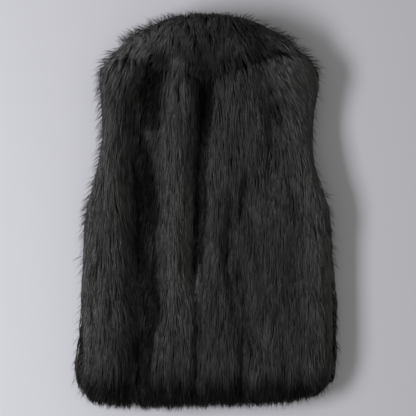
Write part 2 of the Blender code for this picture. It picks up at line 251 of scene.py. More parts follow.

# %% [markdown]
# ## Finishes of the pile
# One black pile covers the whole vest, but it doesn't look the same everywhere. In the folds the
# hairs lie packed, and a copy of the finish with hardly any gloss and no sheen paints shade there.
# On the fronts the hairs are pressed flat, and a warmer copy paints the light thrown back onto
# them. One finish with more nodes could mix these, but gloss and sheen are the same all over a
# finish, so there are three finishes, and each sets its own on the shader itself.

# %% Pile materials
SHEEN_ROUGHNESS = 0.45
BLACK_ROOT, BLACK_TIP = (0.0184, 0.0183, 0.0180), (0.0583, 0.0579, 0.0570)
# Warmer colours for the fronts' pile: painted warm light thrown back onto the edge that shows.
BOUNCE_LIT_ROOT, BOUNCE_LIT_TIP = (0.0184, 0.0174, 0.0149), (0.0583, 0.0545, 0.0459)


def pile_material(name, root, tip, gloss, sheen):
    material = bpy.data.materials.new(name)
    material.use_nodes = True
    tree = material.node_tree
    surface = tree.nodes["Principled BSDF"]
    colour = tree.nodes.new("ShaderNodeGroup")
    colour.node_tree = PILE_GROUP
    colour.inputs["Root"].default_value = (*root, 1.0)
    colour.inputs["Tip"].default_value = (*tip, 1.0)
    tree.links.new(colour.outputs["Colour"], surface.inputs["Base Color"])
    tree.links.new(colour.outputs["Roughness"], surface.inputs["Roughness"])
    surface.inputs["Specular IOR Level"].default_value = gloss
    surface.inputs["Sheen Weight"].default_value = sheen
    surface.inputs["Sheen Roughness"].default_value = SHEEN_ROUGHNESS
    return material


STANDING_PILE = pile_material("standing_pile", BLACK_ROOT, BLACK_TIP, gloss=0.22, sheen=0.03)
# A shaded copy of the standing pile: the same colours with hardly any gloss and no sheen, which paints
# shade.
SHADED_PILE = pile_material("shaded_pile", BLACK_ROOT, BLACK_TIP, gloss=0.03, sheen=0.0)
# The fronts' pressed pile, in the warmer colours that paint light thrown back onto it.
BOUNCE_LIT_PILE = pile_material("bounce_lit_pile", BOUNCE_LIT_ROOT, BOUNCE_LIT_TIP, gloss=0.15, sheen=0.02)
print("materials", STANDING_PILE.name, SHADED_PILE.name, BOUNCE_LIT_PILE.name)

# %% [markdown]
# ## Material of the cloth under the pile
# Between the hairs the eye meets short dense underfur, almost black. It could be hair as well, but
# it is seen only in slits, so a dark rough finish with fine bumps along the nap is enough.

# %% Underfur material
UNDERFUR_COLOUR = (0.0065, 0.0065, 0.0064)
UNDERFUR_ROUGHNESS, UNDERFUR_LEAST_ROUGHNESS, UNDERFUR_GLOSS = 0.9, 0.6, 0.05
BUMPS_PER_METRE = (420.0, 60.0, 200.0)
BUMP_DETAIL, BUMP_STRENGTH, BUMP_HEIGHT = 3.0, 0.8, 0.002


def underfur_material():
    material = plain_material("underfur", UNDERFUR_COLOUR, UNDERFUR_ROUGHNESS)
    tree = material.node_tree
    add, link = tree.nodes.new, tree.links.new
    surface = tree.nodes["Principled BSDF"]
    surface.inputs["Specular IOR Level"].default_value = UNDERFUR_GLOSS
    place, stretch, bumps = add("ShaderNodeTexCoord"), add("ShaderNodeMapping"), add("ShaderNodeTexNoise")
    stretch.inputs["Scale"].default_value = BUMPS_PER_METRE
    bumps.inputs["Scale"].default_value = 1.0
    bumps.inputs["Detail"].default_value = BUMP_DETAIL
    raised = add("ShaderNodeBump")
    raised.inputs["Strength"].default_value = BUMP_STRENGTH
    raised.inputs["Distance"].default_value = BUMP_HEIGHT
    link(place.outputs["Object"], stretch.inputs["Vector"])
    link(stretch.outputs["Vector"], bumps.inputs["Vector"])
    link(bumps.outputs["Fac"], raised.inputs["Height"])
    link(raised.outputs["Normal"], surface.inputs["Normal"])
    roughness = map_range(tree, bumps.outputs["Fac"], 0.0, 1.0, UNDERFUR_LEAST_ROUGHNESS, 1.0)
    link(roughness, surface.inputs["Roughness"])
    return material


UNDERFUR = underfur_material()
print("material", UNDERFUR.name)

# %% [markdown]
# ## Creases
# The frame holds the largest folds. The photo shows smaller ones too, where the fabric under the
# pile gives way and the hairs part. They could be sculpted into the cloth, but the pile has to
# follow them as well. So each is a soft trough with its own path, width and depth, and one
# function of place tells both the cloth and the pile how deep it is.

# %% Creases of the back
Crease = namedtuple("Crease", "depth width path")
CREASES = (
    Crease(0.0025, 0.008, ((-0.132, 0.150), (-0.138, 0.090), (-0.133, 0.010), (-0.131, -0.070))),
    Crease(0.0025, 0.007, ((-0.004, 0.230), (-0.010, 0.150), (-0.016, 0.060), (-0.018, -0.020))),
    Crease(0.0030, 0.006, ((-0.020, -0.060), (-0.022, -0.150), (-0.017, -0.230), (-0.018, -0.330))),
    Crease(0.0035, 0.009, ((0.050, 0.030), (0.046, -0.050), (0.042, -0.110), (0.056, -0.170))),
    Crease(0.0030, 0.010, ((0.074, -0.200), (0.078, -0.270), (0.070, -0.350))),
    Crease(0.0030, 0.011, ((0.130, 0.240), (0.128, 0.190), (0.134, 0.130), (0.128, 0.080))),
    Crease(0.0025, 0.012, ((0.170, 0.040), (0.180, -0.040), (0.176, -0.120))),
    Crease(0.0025, 0.010, ((-0.080, -0.100), (-0.074, -0.180), (-0.082, -0.260))),
    Crease(0.0030, 0.010, ((-0.184, -0.120), (-0.190, -0.200), (-0.184, -0.280))),
    Crease(0.0030, 0.012, ((0.150, -0.210), (0.156, -0.280), (0.150, -0.350))),
)
CREASE_END = 0.03  # over this length past its path a crease fades out


def trough(node, points):
    """How far below the frame's surface the pile lies at each of the points of a node."""
    depth = np.zeros(len(points))
    if node != "back":
        return depth
    for crease in CREASES:
        path = np.array(crease.path)[::-1]
        off = points[:, 0] - np.interp(points[:, 1], path[:, 1], path[:, 0])
        past = np.maximum(path[0, 1] - points[:, 1], points[:, 1] - path[-1, 1])
        ends = np.clip(1.0 - past / CREASE_END, 0.0, 1.0)
        depth += crease.depth * ends * np.exp(-((off / crease.width) ** 2))
    return depth


print("creases", len(CREASES))

# %% [markdown]
# ## The four cloths
# Fur fabric is a knitted cloth about 2 mm thick under its pile. Each cloth here could be draped by
# a simulation, but the frame already holds the form in which the vest lies. So each follows its
# solid, some millimetres inside it, because the solid reaches as far as the pile. A copy of the
# solid's mesh is merged, opened where two layers lie on each other, moved in along its normals,
# and given its thickness. The fronts and the back are open where they meet, as sheets are, and the
# fronts' rims turn in. The collar is folded double, so its sheet goes all round.

# %% Cloth helpers
CLOTH_THICKNESS = 0.002
WELD_DISTANCE = 0.00002
MERGE_FACE_ANGLE, MERGE_SHAPE_ANGLE = math.radians(12), math.radians(60)
TURN_ALONG = 0.4  # a rim turns in less along the vest than across it
SMOOTHING = 0.4
CLEAR_OF_SEAM = 0.0004
SEAM_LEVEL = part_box("back")[0][2]
SEAM_TOLERANCE = 0.001
LEVEL = 0.999  # a face lies level if the Z of its normal is at least this, up or down


def merged_copy(node):
    """A welded bmesh copy of a node of the frame."""
    shape = bmesh.new()
    shape.from_mesh(nodes[node].data)
    bmesh.ops.remove_doubles(shape, verts=shape.verts, dist=WELD_DISTANCE)
    return shape


def cloth(name, node, inset, is_open, turn_in):
    """A thin shell inside a node. is_open picks the faces left out; turn_in folds the rim inwards."""
    shape = merged_copy(node)
    gone = [face for face in shape.faces if is_open(face)]
    bmesh.ops.delete(shape, geom=gone, context="FACES")
    bmesh.ops.join_triangles(
        shape, faces=shape.faces, angle_face_threshold=MERGE_FACE_ANGLE,
        angle_shape_threshold=MERGE_SHAPE_ANGLE,
    )
    shape.normal_update()
    sunk = trough(node, np.array([vertex.co for vertex in shape.verts]))
    moves = [(vertex, vertex.normal.copy()) for vertex in shape.verts]
    for (vertex, normal), extra in zip(moves, sunk):
        vertex.co -= normal * (inset + float(extra))
    if turn_in:
        centre = sum((vertex.co for vertex in shape.verts), Vector()) / len(shape.verts)
        rim = [edge for edge in shape.edges if edge.is_boundary]
        turned = bmesh.ops.extrude_edge_only(shape, edges=rim)["geom"]
        for vertex in (item for item in turned if isinstance(item, bmesh.types.BMVert)):
            inwards = Vector((centre.x - vertex.co.x, (centre.y - vertex.co.y) * TURN_ALONG, 0.0))
            vertex.co += inwards.normalized() * turn_in
    bmesh.ops.smooth_vert(
        shape, verts=[v for v in shape.verts if not v.is_boundary], factor=SMOOTHING,
        use_axis_x=True, use_axis_y=True, use_axis_z=True,
    )
    if node == "back":
        for vertex in shape.verts:
            vertex.co.z = max(vertex.co.z, SEAM_LEVEL + CLOTH_THICKNESS + CLEAR_OF_SEAM)
    piece = link_mesh(name, shape)
    piece.data.shade_smooth()
    piece.data.materials.append(UNDERFUR)
    finer = piece.modifiers.new("finer", "SUBSURF")
    finer.levels = finer.render_levels = 1
    wall = piece.modifiers.new("wall", "SOLIDIFY")
    wall.thickness = CLOTH_THICKNESS
    wall.offset = -1.0
    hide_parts(node)
    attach(piece, "root")
    return piece


def flat_top(face):
    return face.normal.z > LEVEL and face.calc_center_median().z > SEAM_LEVEL - SEAM_TOLERANCE


def flat_bottom(face):
    return face.normal.z < -LEVEL and face.calc_center_median().z < SEAM_LEVEL + SEAM_TOLERANCE


print("seam between the back and the fronts at", round(SEAM_LEVEL, 4))

# %% The four cloths
BACK_INSET, FRONT_INSET, COLLAR_INSET = 0.0065, 0.0035, 0.0030
FRONT_TURN_IN = 0.022

back_cloth = cloth("back_cloth", "back", BACK_INSET, flat_bottom, 0.0)
front_left_cloth = cloth("front_left_cloth", "front_left", FRONT_INSET, flat_top, FRONT_TURN_IN)
front_right_cloth = cloth("front_right_cloth", "front_right", FRONT_INSET, flat_top, FRONT_TURN_IN)
collar_cloth = cloth("collar_cloth", "collar", COLLAR_INSET, lambda face: False, 0.0)
for piece in (back_cloth, front_left_cloth, front_right_cloth, collar_cloth):
    print(piece.name, len(piece.data.polygons), "faces")

# %% [markdown]
# ## The shape that the pile follows
# The hairs need to know where the vest's surface is. Each solid is kept as arrays for sowing, and
# all of them together as one search tree, so that hairs of the collar can fall onto the back. A
# place is free if nothing lies close over it: a ray along the normal that soon meets another solid
# means that the place is pressed under it, and no hair may fall there. The ray starts just under
# the place, so that it also meets a solid that touches it.

# %% Surfaces of the frame
FREE_WAY = 0.016
RAY_START = 0.001
Surface = namedtuple("Surface", "corners normals triangles tree")


def surface_of(node):
    """Corner places and normals of a node, the triangles between them, and a search tree."""
    shape = merged_copy(node)
    bmesh.ops.triangulate(shape, faces=shape.faces)
    shape.normal_update()
    corners = np.array([vertex.co for vertex in shape.verts])
    normals = np.array([vertex.normal for vertex in shape.verts])
    triangles = np.array([[vertex.index for vertex in face.verts] for face in shape.faces])
    tree = BVHTree.FromBMesh(shape)
    shape.free()
    return Surface(corners, normals, triangles, tree)


def is_free(node, point, normal):
    """True if nothing of another solid lies close over this spot."""
    start = Vector(point - normal * RAY_START)
    for other, surface in SURFACES.items():
        if other != node and surface.tree.ray_cast(start, Vector(normal), FREE_WAY)[0] is not None:
            return False
    return True


def free_surface():
    """One search tree over the triangles of all the nodes that are free."""
    all_corners, all_triangles, start = [], [], 0
    for node, (corners, normals, triangles, _) in SURFACES.items():
        middles, slopes = corners[triangles].mean(axis=1), normals[triangles].mean(axis=1)
        free = [is_free(node, middle, slope) for middle, slope in zip(middles, slopes)]
        all_corners.append(corners)
        all_triangles.append(triangles[free] + start)
        start += len(corners)
    all_triangles = np.concatenate(all_triangles)
    print("free triangles", len(all_triangles))
    return BVHTree.FromPolygons(np.concatenate(all_corners).tolist(), all_triangles.tolist())


SURFACES = {name: surface_of(name) for name in nodes}
FREE_SURFACE = free_surface()
print("surfaces", {name: len(surface.triangles) for name, surface in SURFACES.items()})

# %% [markdown]
# ## Where shade and highlights are painted on the pile
# Fur looks darkest where it is packed in a valley and palest on a ridge, more so than lamps alone
# would show on these hairs, which are far fewer than the real ones. So shade is painted into each
# hair's tone in the valleys and highlights on the ridges, following the relief: a grid of heights is
# measured from the frame and blurred, and a place that lies lower than its blurred surroundings is
# a valley. The lamp already darkens the left wall of each valley, and in the photo the imported pile
# lies against the right wall, so the painted shade is read from the relief some way further left,
# most at the deep fold.

# %% Relief
CELL = 0.005
BLUR = 0.020
GRID_MARGIN = 0.04
ABOVE_ALL = 0.05  # how far over the vest the measuring rays start
LEAST_SHARE = 0.05
# Near the outline less of the surroundings is vest. With this share of it or less no valley is
# read, and the reading fades in over the next figure.
SHARE_FROM, SHARE_FADE = 0.72, 0.24
# Painted shade in the valleys and painted highlights on the ridges, read some way left of the relief:
PAINTED_SHADE_DEPTH = 0.0063  # a valley this much lower than its surroundings is less than half as bright
RIDGE_HIGHLIGHT_GAIN = 45.0  # how much paler, for each metre that a ridge stands out
RELIEF_SHIFTS = ((-0.10, 0.016), (-0.05, 0.008))  # places across the vest, and the shift at each


def blurred(grid, cells):
    """The grid blurred by a bell curve that is this many cells wide."""
    reach = int(3 * cells)
    bell = np.exp(-((np.arange(-reach, reach + 1) / cells) ** 2) / 2)
    bell /= bell.sum()
    for axis in (0, 1):
        grid = np.apply_along_axis(lambda line: np.convolve(line, bell, mode="same"), axis, grid)
    return grid


(low_x, low_y, _), (high_x, high_y, high_z) = cad_box
grid_x = np.arange(low_x - GRID_MARGIN, high_x + GRID_MARGIN, CELL)
grid_y = np.arange(low_y - GRID_MARGIN, high_y + GRID_MARGIN, CELL)
down = Vector((0.0, 0.0, -1.0))
heights = np.zeros((len(grid_x), len(grid_y)))
for surface in SURFACES.values():
    for i, x in enumerate(grid_x):
        for j, y in enumerate(grid_y):
            met = surface.tree.ray_cast(Vector((x, y, high_z + ABOVE_ALL)), down)[0]
            if met is not None:
                heights[i, j] = max(heights[i, j], met.z)
covered = (heights > 0.0).astype(float)
share = blurred(covered, BLUR / CELL)
valleys = blurred(heights, BLUR / CELL) / np.maximum(share, LEAST_SHARE) - heights
valleys *= np.clip((share - SHARE_FROM) / SHARE_FADE, 0.0, 1.0)
print("deepest valley and highest ridge", valleys.max().round(4), valleys.min().round(4))


def valley(points):
    """How far each point's place lies below its surroundings: under zero on a ridge."""
    i = np.clip((points[:, 0] - grid_x[0]) / CELL, 0, len(grid_x) - 1.001)
    j = np.clip((points[:, 1] - grid_y[0]) / CELL, 0, len(grid_y) - 1.001)
    i0, j0 = i.astype(int), j.astype(int)
    s, t = i - i0, j - j0
    return (
        valleys[i0, j0] * (1 - s) * (1 - t) + valleys[i0 + 1, j0] * s * (1 - t)
        + valleys[i0, j0 + 1] * (1 - s) * t + valleys[i0 + 1, j0 + 1] * s * t
    )


# %% [markdown]
# ## Patches of painted light and shade
# Beside the relief the photo shows patches of light and shade: pale shoulders, a dark hem and dark
# hollows beside the collar. They are painted into the pile's tone as highlights and shade. They could
# be painted on by hand, but a table of soft round places, each with its reach and its change, is
# easier to read and to correct. Faint streaks of noise, drawn out along the nap, stand for the way in
# which the pile of a worn coat mats.

# %% Patches
Patch = namedtuple("Patch", "place x y reach_x reach_y change")
# Each patch paints a highlight or a shade into the tone of the pile.
PAINTED_LIGHT_PATCHES = (
    Patch("left shoulder", -0.180, 0.285, 0.055, 0.045, 0.50),
    Patch("beside the left end of the collar", -0.146, 0.272, 0.024, 0.036, 0.70),
    Patch("left strip", -0.205, 0.080, 0.030, 0.160, 0.55),
    Patch("left wall of the deep fold, high", -0.158, 0.205, 0.014, 0.035, 0.40),
    Patch("left wall of the deep fold", -0.170, 0.015, 0.016, 0.110, 0.80),
    Patch("right wall of the deep fold", -0.094, 0.030, 0.011, 0.200, -0.42),
    Patch("foot of the right wall", -0.116, 0.112, 0.010, 0.022, 0.90),
    Patch("foot of the right wall, low", -0.114, -0.100, 0.009, 0.060, 1.10),
    Patch("over the deep fold", -0.126, 0.252, 0.014, 0.018, 0.55),
    Patch("pale place in the deep fold", -0.122, 0.135, 0.016, 0.020, 1.05),
    Patch("left strip, low", -0.212, -0.220, 0.040, 0.120, 0.30),
    Patch("left side", -0.238, -0.030, 0.022, 0.240, 0.25),
    Patch("deep fold", -0.122, -0.020, 0.020, 0.240, -0.90),
    Patch("right shoulder", 0.180, 0.268, 0.060, 0.050, 1.00),
    Patch("right panel", 0.095, 0.120, 0.070, 0.130, 0.30),
    Patch("slit in the right panel", 0.086, 0.040, 0.018, 0.080, -0.30),
    Patch("pale streak in the right panel", 0.132, 0.125, 0.014, 0.045, 0.42),
    Patch("dull place low in the right panel", 0.165, -0.125, 0.050, 0.030, -0.32),
    Patch("right armhole", 0.202, 0.160, 0.030, 0.120, 0.70),
    Patch("right side", 0.222, -0.060, 0.026, 0.260, 0.95),
    Patch("left part of the collar", -0.110, 0.335, 0.060, 0.035, 0.50),
    Patch("ridge left of the centre", -0.072, 0.100, 0.024, 0.170, 0.50),
    Patch("ridge left of the centre, low", -0.066, -0.090, 0.022, 0.150, 0.78),
    Patch("top of the ridge", -0.052, 0.222, 0.020, 0.045, 0.45),
    Patch("centre fold", 0.002, 0.175, 0.013, 0.055, -0.70),
    Patch("left of the centre fold", -0.034, 0.205, 0.012, 0.030, 0.75),
    Patch("ridge beside the centre fold", -0.036, -0.050, 0.036, 0.060, 0.42),
    Patch("centre fold, low", -0.030, -0.100, 0.018, 0.170, 0.90),
    Patch("centre fold, at the hem", -0.015, -0.270, 0.025, 0.090, 0.30),
    Patch("top of the collar", 0.010, 0.384, 0.110, 0.020, 0.60),
    Patch("middle of the collar", 0.000, 0.330, 0.070, 0.035, -0.10),
    Patch("lowest edge of the collar", -0.008, 0.294, 0.052, 0.022, -0.85),
    Patch("under the right part of the collar", 0.074, 0.294, 0.024, 0.018, 1.20),
    Patch("hollow beside the right shoulder", 0.112, 0.308, 0.024, 0.020, -0.90),
    Patch("right part of the collar", 0.084, 0.337, 0.044, 0.022, -1.05),
    Patch("right front's strip", 0.254, -0.120, 0.014, 0.240, 1.20),
    Patch("hollow under the left shoulder", -0.108, 0.226, 0.024, 0.055, -1.10),
    Patch("hollow under the collar", -0.002, 0.240, 0.026, 0.060, -0.75),
    Patch("hem, right half", 0.120, -0.345, 0.100, 0.022, 0.45),
)
# Painted shade along the hem, where the pile curls under, away from the lamp:
HEM_SHADE_FROM, HEM_SHADE_TO = -0.325, -0.372
HEM_SHADE, HEM_CURVE = -1.0, 1.5
STREAKS = ((62.0, 13.0, 0.55), (150.0, 30.0, 0.45))  # per metre across, per metre along, strength


def shade(points):
    """Painted light and shade of the pile at each point, with streaks of matting: 1 is plain."""
    shifted = points.copy()
    shifted[:, 0] -= np.interp(points[:, 0], *zip(*RELIEF_SHIFTS))
    low = valley(shifted)
    # Painted shade in the valleys and painted highlights on the ridges, then the patches of painted light
    # and shade.
    change = -np.maximum(low, 0.0) / PAINTED_SHADE_DEPTH - np.minimum(low, 0.0) * RIDGE_HIGHLIGHT_GAIN
    for patch in PAINTED_LIGHT_PATCHES:
        away = ((points[:, 0] - patch.x) / patch.reach_x) ** 2
        away += ((points[:, 1] - patch.y) / patch.reach_y) ** 2
        change += patch.change * np.exp(-away)
    for across, along, strength in STREAKS:
        cells = points * np.array([across, along, across])
        change += strength * np.array([noise.noise(cell) for cell in map(Vector, cells)])
    # Painted shade that darkens the pile towards the hem.
    near_hem = np.clip((HEM_SHADE_FROM - points[:, 1]) / (HEM_SHADE_FROM - HEM_SHADE_TO), 0.0, 1.0)
    return np.exp(change + HEM_SHADE * near_hem**HEM_CURVE)


print("patches", len(PAINTED_LIGHT_PATCHES), "and streaks", len(STREAKS))

# %% [markdown]
# ## How the pile lies
# Fur fabric has a nap: the hairs lean one way, here from the collar to the hem. They swing out
# over the shoulders and along the folds, and in patches a hand or a fold has ruffled them. They
# could be combed by hand, but then nothing would say how. So the lie is a direction for each
# place: the nap, plus a lean to one side from a table of places, plus a slow waver. Where the nap
# meets the edge of the hem squarely it has no way along the surface, so there the hairs hang down.
# On the collar the nap runs over the fold, so it is worked out from the surface's own slope: across
# the vest, and always towards the edge that lies on the back. At its right end long strands sweep
# out over the shoulder.

# %% Lie of the pile
Lean = namedtuple("Lean", "x y reach_x reach_y amount")
LEANS = (
    Lean(-0.205, 0.275, 0.045, 0.055, -0.55),
    Lean(-0.125, 0.235, 0.030, 0.060, -0.25),
    Lean(0.165, 0.270, 0.080, 0.060, 0.75),
    Lean(0.200, 0.180, 0.050, 0.080, 0.35),
    Lean(-0.200, 0.150, 0.040, 0.080, -0.30),
    Lean(-0.165, 0.060, 0.030, 0.120, 0.25),
    Lean(-0.100, 0.060, 0.025, 0.140, -0.22),
    Lean(-0.158, -0.180, 0.030, 0.120, 0.25),
    Lean(-0.095, -0.180, 0.025, 0.120, -0.25),
    Lean(-0.235, -0.050, 0.025, 0.120, -0.30),
    Lean(0.235, -0.050, 0.030, 0.140, 0.25),
    Lean(0.010, -0.100, 0.022, 0.140, -0.20),
    Lean(-0.050, -0.100, 0.022, 0.140, 0.15),
    Lean(-0.220, -0.340, 0.050, 0.050, -0.30),
    Lean(0.210, -0.340, 0.060, 0.050, 0.25),
)
COLLAR_LEANS = (
    Lean(0.125, 0.345, 0.050, 0.045, 1.20),
    Lean(-0.125, 0.345, 0.050, 0.045, -0.30),
)
WAVES, WAVER_SCALE = 9, 3.0
WAVER = [
    (rng.uniform(40.0, 130.0), rng.uniform(25.0, 80.0), rng.uniform(0.0, math.tau), rng.uniform(0.5, 1.0))
    for _ in range(WAVES)
]
NAP_WAVER, NAP_DROP = 0.11, 0.45
COLLAR_SPREAD, COLLAR_HALF_WIDTH = 0.45, 0.16  # how far the hairs swing out at the collar's ends
COLLAR_WAVER, COLLAR_WAVER_PACE = 0.30, 1.6
LEAST_NAP = 0.50  # where the nap meets the edge of the hem more squarely than this, hairs hang down
HANG = 2.0


def waver(points):
    """A slow swing of the nap from place to place, from about -1 to 1."""
    swing = np.zeros(len(points))
    for across, along, phase, share in WAVER:
        swing += share * np.sin(points[:, 0] * across + points[:, 1] * along + phase)
    return swing / WAVER_SCALE


def unit(vectors):
    return vectors / np.maximum(np.linalg.norm(vectors, axis=1, keepdims=True), 1e-9)


def nap(node, points, normals):
    """The unit direction in which hairs lie at each point, in the surface."""
    if node == "collar":
        lie = np.cross(np.array([1.0, 0.0, 0.0]), normals)
        lie[:, 0] += COLLAR_SPREAD * points[:, 0] / COLLAR_HALF_WIDTH
        lie[:, 0] += COLLAR_WAVER * waver(points * COLLAR_WAVER_PACE)
    else:
        lie = np.zeros((len(points), 3))
        lie[:, 1] = -1.0
        lie[:, 0] = NAP_WAVER * waver(points)
        lie[:, 2] = -NAP_DROP * (1.0 - np.abs(normals[:, 2]))
    for lean in COLLAR_LEANS if node == "collar" else LEANS:
        away = ((points[:, 0] - lean.x) / lean.reach_x) ** 2
        away += ((points[:, 1] - lean.y) / lean.reach_y) ** 2
        lie[:, 0] += lean.amount * np.exp(-away)
    lie -= normals * np.sum(lie * normals, axis=1, keepdims=True)
    if node != "collar":
        weak = np.maximum(LEAST_NAP - np.linalg.norm(lie, axis=1), 0.0)
        lie[:, 2] -= HANG * weak
        lie -= normals * np.sum(lie * normals, axis=1, keepdims=True)
    return unit(lie)


print("leans", len(LEANS) + len(COLLAR_LEANS), "and wavers", len(WAVER))

# %% [markdown]
# ## Where the locks grow
# Long pile sticks together in loose locks some millimetres wide. A regular grid of them would
# show as rows, and plain chance leaves bare spots. So locks are sown over each solid at random, by
# area, with none too near another, and as a rule only where the surface is free.

# %% Sowing
TRIES_A_SQUARE = 5  # in each square as wide as the spacing


def sow(node, spacing, wanted, only_free=True):
    """Places and normals of locks on a node, no two nearer than spacing; wanted picks the spots."""
    corners, normals, triangles, _ = SURFACES[node]
    a, b, c = (corners[triangles[:, k]] for k in range(3))
    areas = np.linalg.norm(np.cross(b - a, c - a), axis=1) / 2
    tries = int(areas.sum() / spacing**2 * TRIES_A_SQUARE)
    picked = rng.choice(len(triangles), tries, p=areas / areas.sum())
    u, v = rng.random(tries), rng.random(tries)
    u, v = np.where(u + v > 1, 1 - u, u), np.where(u + v > 1, 1 - v, v)
    weights = (1 - u - v, u, v)
    places = sum(weights[k][:, None] * corners[triangles[picked, k]] for k in range(3))
    slopes = unit(sum(weights[k][:, None] * normals[triangles[picked, k]] for k in range(3)))
    keep, cells = [], {}
    for index, (point, slope) in enumerate(zip(places, slopes)):
        if not wanted(point, slope):
            continue
        cell = tuple(np.floor(point / spacing).astype(int))
        near = (
            cells.get((cell[0] + i, cell[1] + j, cell[2] + k), ())
            for i in (-1, 0, 1) for j in (-1, 0, 1) for k in (-1, 0, 1)
        )
        if any(((point - other) ** 2).sum() < spacing**2 for group in near for other in group):
            continue
        if not only_free or is_free(node, point, slope):
            cells.setdefault(cell, []).append(point)
            keep.append(index)
    print(f"{node}: {len(keep)} locks at {spacing * 1000:.1f} mm")
    return places[keep], slopes[keep]


print("tries in each square of the spacing:", TRIES_A_SQUARE)

# %% [markdown]
# ## How far hairs may reach
# The longest hairs of a coat wear off, so none stands out far past the rest. Each hair is three
# points here, its root, its middle and its tip, and one that would pass a box a little larger than
# the frame's is shortened along its own way, not cut flat, so that no straight edge shows. The hem
# may stand out most.

# %% Limits of the hairs
ABOVE_FLOOR = 0.0003
# How far hairs may stand out of the frame's box: to the left and past the hem, then to the right,
# past the collar and upwards.
PROUD_LOW, PROUD_HIGH = np.array([0.0115, 0.0230, 0.0]), np.array([0.0115, 0.0040, 0.0080])
WORN_SHARES = (0.80, 1.0)
LOWEST, HIGHEST = np.array(cad_box[0]) - PROUD_LOW, np.array(cad_box[1]) + PROUD_HIGH
LOWEST[2] = ABOVE_FLOOR
Hairs = namedtuple("Hairs", "root middle tip up width tone")


def shortened(hairs):
    """The hairs, each cut back so far that it ends inside the frame's box and its proud margin."""
    step = hairs.tip - hairs.root
    room = np.where(step > 0, HIGHEST - hairs.root, hairs.root - LOWEST) / np.maximum(np.abs(step), 1e-9)
    kept = np.clip(room[:, :2].min(axis=1), 0.0, 1.0)
    kept *= np.where(kept < 1.0, rng.uniform(*WORN_SHARES, len(kept)), 1.0)
    tip = hairs.root + step * kept[:, None]
    middle = hairs.root + (hairs.middle - hairs.root) * kept[:, None]
    return hairs._replace(middle=np.clip(middle, LOWEST, HIGHEST), tip=np.clip(tip, LOWEST, HIGHEST))


print("hairs may reach from", LOWEST.round(4), "to", HIGHEST.round(4))

# %% [markdown]
# ## One hair, many times
# A hair is rooted in the cloth, rises to the pile's surface and then lies along it. It has three
# sides and a point: two rings of three corners along a curve, and a tip. A hair system would draw
# it as a ribbon that is hard to keep as a mesh, and there are far too many hairs to model one by
# one. So all of them are worked out at once as arrays and joined into a few meshes, and each keeps
# only nine triangles.

# %% Hairs joined into a mesh
RINGS = (0.05, 0.50)
RING_WIDTH = (0.80, 1.0)
CORNER_TURNS = (math.pi / 2, math.pi * 7 / 6, math.pi * 11 / 6)
HAIR_CORNERS, HAIR_TRIANGLES = 7, 9
TONE_LIMITS, UV_STEP = (0.02, 0.99), 0.002


def hairs_mesh(name, hairs, material):
    """Joins tapered hairs into one mesh with its own UV map."""
    hairs = shortened(hairs)
    count = len(hairs.root)
    corners = np.zeros((count, HAIR_CORNERS, 3))
    for ring, (t, wide) in enumerate(zip(RINGS, RING_WIDTH)):
        centre = (1 - t) ** 2 * hairs.root + 2 * t * (1 - t) * hairs.middle + t**2 * hairs.tip
        along = unit((1 - t) * (hairs.middle - hairs.root) + t * (hairs.tip - hairs.middle))
        side = unit(np.cross(along, hairs.up))
        rise = np.cross(side, along)
        for corner, turn in enumerate(CORNER_TURNS):
            out = side * math.cos(turn) + rise * math.sin(turn)
            corners[:, ring * 3 + corner] = centre + out * (hairs.width * wide / 2)[:, None]
    corners[:, -1] = hairs.tip
    corners[:, :, 2] = np.maximum(corners[:, :, 2], ABOVE_FLOOR)

    faces, across, along = [], [], []
    for side in range(3):
        following = (side + 1) % 3
        faces.append((side, following, following + 3, side + 3))
        across.append((side, side + 1, side + 1, side))
        along.append((RINGS[0], RINGS[0], RINGS[1], RINGS[1]))
    for side in range(3):
        faces.append((3 + side, 3 + (side + 1) % 3, HAIR_CORNERS - 1))
        across.append((side, side + 1, side + 0.5))
        along.append((RINGS[1], RINGS[1], 1.0))
    sizes = np.array([len(face) for face in faces])
    loops = np.concatenate(faces)
    across, along = np.concatenate(across), np.concatenate(along)

    mesh = bpy.data.meshes.new(name)
    mesh.vertices.add(count * HAIR_CORNERS)
    mesh.vertices.foreach_set("co", corners.reshape(-1))
    mesh.loops.add(count * len(loops))
    corner_numbers = np.arange(count)[:, None] * HAIR_CORNERS + loops[None, :]
    mesh.loops.foreach_set("vertex_index", corner_numbers.reshape(-1).astype(np.int32))
    mesh.polygons.add(count * len(faces))
    starts = np.arange(count)[:, None] * len(loops) + (np.cumsum(sizes) - sizes)[None, :]
    mesh.polygons.foreach_set("loop_start", starts.reshape(-1).astype(np.int32))
    mesh.update(calc_edges=True)
    uv = mesh.uv_layers.new(name=UV_NAME)
    places = np.zeros((count, len(loops), 2))
    places[:, :, 0] = np.clip(hairs.tone, *TONE_LIMITS)[:, None] + across[None, :] * UV_STEP
    places[:, :, 1] = along[None, :]
    uv.data.foreach_set("uv", places.reshape(-1))
    mesh.shade_smooth()
    mesh.materials.append(material)
    piece = bpy.data.objects.new(name, mesh)
    bpy.context.scene.collection.objects.link(piece)
    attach(piece, "root")
    return piece


print("corners of a hair", HAIR_CORNERS, "and triangles", HAIR_TRIANGLES)

# %% [markdown]
# ## Laying hairs on the surface
# Pile is soft: it falls back onto whatever is under it, also from the collar's edge onto the back.
# A physical simulation of so many hairs would be slow. It is enough to find the nearest surface
# from a point in the air and to move the point most of the way back to it.

# %% Settling and turning
def settle(points, cling, allowance):
    """Moves points back to the vest's surface, each no further out than its allowance."""
    found = [FREE_SURFACE.find_nearest(point) for point in map(Vector, points)]
    near = np.array([tuple(hit[0]) for hit in found])
    normals = np.array([tuple(hit[1]) for hit in found])
    away = points - near
    outside = np.sum(away * normals, axis=1) > 0
    distance = np.where(outside, np.minimum(np.linalg.norm(away, axis=1) * (1 - cling), allowance), 0.0)
    heading = np.where(outside[:, None], unit(away), normals)
    return near + heading * distance[:, None], normals


